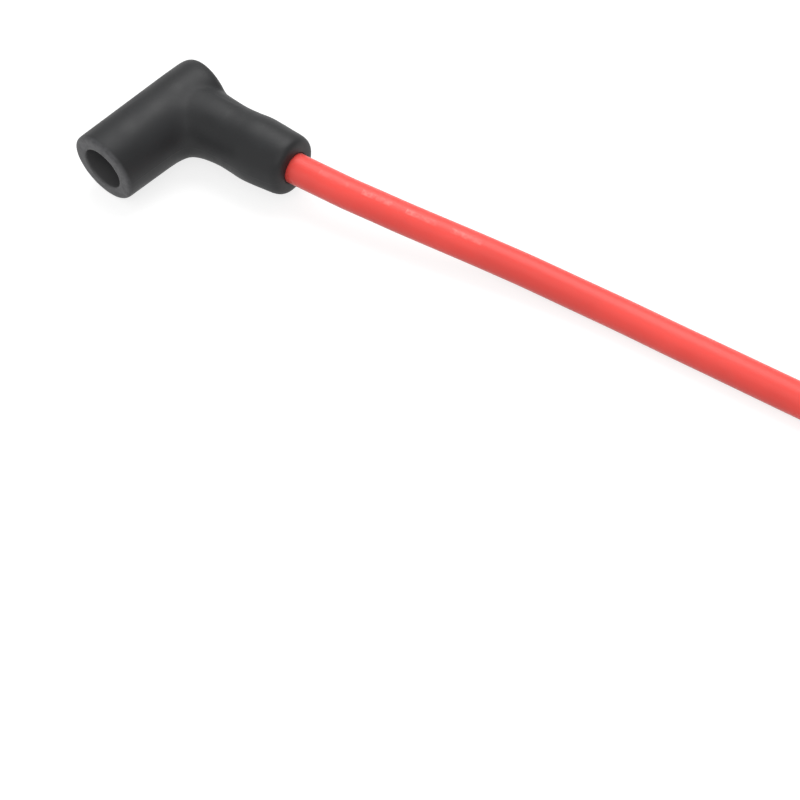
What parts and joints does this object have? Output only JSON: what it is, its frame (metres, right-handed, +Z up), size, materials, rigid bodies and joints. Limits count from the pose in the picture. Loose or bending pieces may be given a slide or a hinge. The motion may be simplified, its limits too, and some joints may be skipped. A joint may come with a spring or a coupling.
{
  "type": "spark plug wire",
  "caption": "Ignition lead: a red rubber-covered wire with a right-angle boot on one end and a straight boot on the other, spare length coiled and tied.",
  "frame": {"origin": "on the surface that the lead lies on, under the middle of the right-angle boot's outline", "axes": "+Z up from the surface; the right-angle boot's plug socket opens towards -Y and its cable arm points along +X, 7 degrees towards +Y"},
  "size_m": [0.326, 0.096, 0.0283],
  "materials": {
    "boot_rubber": "moulded, semi-matt",
    "wire_silicone": "smooth, satin",
    "stamped_steel": "stamped and plated",
    "spring_steel": "drawn wire",
    "tie_nylon": "moulded nylon"
  },
  "bodies": {
    "root": {"plug_boot": "boot_rubber", "plug_terminal": "stamped_steel", "plug_terminal_spring": "spring_steel", "wire_lead": "wire_silicone", "wire_coil": "wire_silicone", "wire_tail": "wire_silicone", "coil_tie": "tie_nylon", "cap_boot": "boot_rubber", "cap_terminal": "stamped_steel", "cap_terminal_spring": "spring_steel"}
  },
  "joints": []
}
